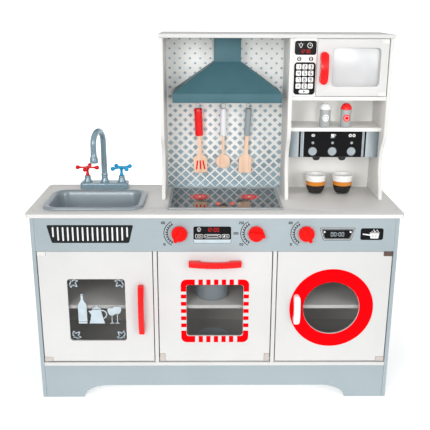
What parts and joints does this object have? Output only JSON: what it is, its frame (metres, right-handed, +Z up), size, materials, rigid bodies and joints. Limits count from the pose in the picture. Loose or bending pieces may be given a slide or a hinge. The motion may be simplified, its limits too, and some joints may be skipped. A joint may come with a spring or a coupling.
{
  "type": "toy kitchen",
  "caption": "Toy kitchen with cupboard, oven and washing machine doors, sink and turning tap, hob, hood with utensils, microwave, spice shelf and coffee machine.",
  "frame": {"origin": "on the floor under the middle of the whole kitchen's bounding box", "axes": "+X to the right as the child faces the kitchen, +Y to the back, towards the wall, +Z up"},
  "size_m": [0.88, 0.2888, 0.8819],
  "materials": {
    "painted_white": "satin paint",
    "painted_grey": "satin paint",
    "red_paint": "gloss paint",
    "bare_wood": "sanded",
    "teal_metal": "satin",
    "grey_plastic": "gloss",
    "white_plastic": "satin",
    "red_plastic": "gloss",
    "blue_plastic": "gloss",
    "smoked_plastic": "clear, tinted",
    "black_plastic": "gloss"
  },
  "bodies": {
    "cabinet": {"left_side_panel": "painted_grey", "right_side_panel": "painted_grey", "left_divider": "painted_white", "right_divider": "painted_white", "base_panel": "painted_white", "plinth_board": "painted_grey", "control_fascia": "painted_grey", "cupboard_shelf": "painted_white", "oven_shelf": "painted_white", "washer_shelf": "painted_white", "lower_back_panel": "painted_white", "worktop": "painted_white", "bay_side_panel": "painted_white", "upper_divider": "painted_white", "upper_right_panel": "painted_white", "roof_panel": "painted_white", "upper_back_panel": "painted_white", "microwave_floor": "painted_white", "keypad_panel": "painted_white", "spice_shelf": "painted_white", "coffee_panel": "painted_white", "hood": "teal_metal", "hook_strip": "white_plastic", "sink_basin": "grey_plastic", "hob": "black_plastic", "faucet_base": "grey_plastic"},
    "cupboard_door": {"cupboard_door": "painted_white", "cupboard_window": "smoked_plastic", "cupboard_handle": "red_paint", "cupboard_hinge_top": "white_plastic", "cupboard_hinge_bottom": "white_plastic"},
    "oven_door": {"oven_door": "painted_white", "oven_window": "smoked_plastic", "oven_handle": "red_paint", "oven_hinge_left": "white_plastic", "oven_hinge_right": "white_plastic"},
    "washer_door": {"washer_door": "painted_white", "washer_window": "smoked_plastic", "washer_handle": "painted_white", "washer_hinge_top": "white_plastic", "washer_hinge_bottom": "white_plastic"},
    "microwave_door": {"microwave_door": "painted_white", "microwave_window": "smoked_plastic", "microwave_handle": "red_paint"},
    "knob_left": {"knob_left": "red_plastic"},
    "knob_middle": {"knob_middle": "red_plastic"},
    "knob_right": {"knob_right": "red_plastic"},
    "faucet_spout": {"faucet_spout": "grey_plastic"},
    "hot_tap_handle": {"hot_tap_handle": "red_plastic"},
    "cold_tap_handle": {"cold_tap_handle": "blue_plastic"},
    "hob_button_left": {"hob_button_left": "red_plastic"},
    "hob_button_right": {"hob_button_right": "red_plastic"},
    "slotted_turner": {"slotted_turner": "bare_wood"},
    "spoon": {"spoon": "bare_wood"},
    "spatula": {"spatula": "bare_wood"},
    "salt_shaker": {"salt_shaker": "painted_grey"},
    "pepper_shaker": {"pepper_shaker": "painted_grey"},
    "cup_left": {"cup_left": "bare_wood"},
    "cup_right": {"cup_right": "bare_wood"},
    "saucepan": {"saucepan": "painted_grey"}
  },
  "joints": [
    {"name": "cupboard_door_hinge", "type": "hinge", "parent": "cabinet", "child": "cupboard_door", "pos_m": [-0.415, -0.1161, 0.24], "axis": [0, 0, -1], "range_deg": [0, 100]},
    {"name": "oven_door_hinge", "type": "hinge", "parent": "cabinet", "child": "oven_door", "pos_m": [0, -0.1161, 0.1059], "axis": [1, 0, 0], "range_deg": [0, 90]},
    {"name": "washer_door_hinge", "type": "hinge", "parent": "cabinet", "child": "washer_door", "pos_m": [0.415, -0.1161, 0.24], "axis": [0, 0, 1], "range_deg": [0, 100]},
    {"name": "microwave_door_hinge", "type": "hinge", "parent": "cabinet", "child": "microwave_door", "pos_m": [0.3999, -0.0041, 0.806], "axis": [0, 0, 1], "range_deg": [0, 100]},
    {"name": "knob_left_turn", "type": "hinge", "parent": "cabinet", "child": "knob_left", "pos_m": [-0.0835, -0.1161, 0.435], "axis": [0, -1, 0], "continuous": true},
    {"name": "knob_middle_turn", "type": "hinge", "parent": "cabinet", "child": "knob_middle", "pos_m": [0.096, -0.1161, 0.435], "axis": [0, -1, 0], "continuous": true},
    {"name": "knob_right_turn", "type": "hinge", "parent": "cabinet", "child": "knob_right", "pos_m": [0.2135, -0.1161, 0.435], "axis": [0, -1, 0], "continuous": true},
    {"name": "faucet_spout_swivel", "type": "hinge", "parent": "cabinet", "child": "faucet_spout", "pos_m": [-0.288, 0.1124, 0.52], "axis": [0, 0, 1], "range_deg": [-75, 105]},
    {"name": "hot_tap_turn", "type": "hinge", "parent": "cabinet", "child": "hot_tap_handle", "pos_m": [-0.3325, 0.1124, 0.52], "axis": [0, 0, 1], "continuous": true},
    {"name": "cold_tap_turn", "type": "hinge", "parent": "cabinet", "child": "cold_tap_handle", "pos_m": [-0.2435, 0.1124, 0.52], "axis": [0, 0, 1], "continuous": true},
    {"name": "hob_button_left_press", "type": "slide", "parent": "cabinet", "child": "hob_button_left", "axis": [0, 0, -1], "range_m": [0, 0.002], "stiffness_N_per_m": 300, "springref_m": -0.001},
    {"name": "hob_button_right_press", "type": "slide", "parent": "cabinet", "child": "hob_button_right", "axis": [0, 0, -1], "range_m": [0, 0.002], "stiffness_N_per_m": 300, "springref_m": -0.001},
    {"name": "slotted_turner_swing", "type": "hinge", "parent": "cabinet", "child": "slotted_turner", "pos_m": [-0.0427, 0.1044, 0.713], "axis": [0, -1, 0], "range_deg": [-8, 8]},
    {"name": "spoon_swing", "type": "hinge", "parent": "cabinet", "child": "spoon", "pos_m": [0.0223, 0.1044, 0.713], "axis": [0, -1, 0], "range_deg": [-8, 8]},
    {"name": "spatula_swing", "type": "hinge", "parent": "cabinet", "child": "spatula", "pos_m": [0.0873, 0.1044, 0.713], "axis": [0, -1, 0], "range_deg": [-8, 8]},
    {"name": "cup_left_take", "type": "slide", "parent": "cabinet", "child": "cup_left", "axis": [0, -0.96, 0.28], "range_m": [0, 0.25]},
    {"name": "cup_right_take", "type": "slide", "parent": "cabinet", "child": "cup_right", "axis": [0, -0.96, 0.28], "range_m": [0, 0.25]},
    {"name": "salt_shaker_take", "type": "slide", "parent": "cabinet", "child": "salt_shaker", "axis": [0, -0.995, 0.0999], "range_m": [0, 0.12]},
    {"name": "pepper_shaker_take", "type": "slide", "parent": "cabinet", "child": "pepper_shaker", "axis": [0, -0.995, 0.0999], "range_m": [0, 0.12]},
    {"name": "saucepan_lift", "type": "slide", "parent": "cabinet", "child": "saucepan", "axis": [0, 0, 1], "range_m": [0, 0.1]}
  ]
}
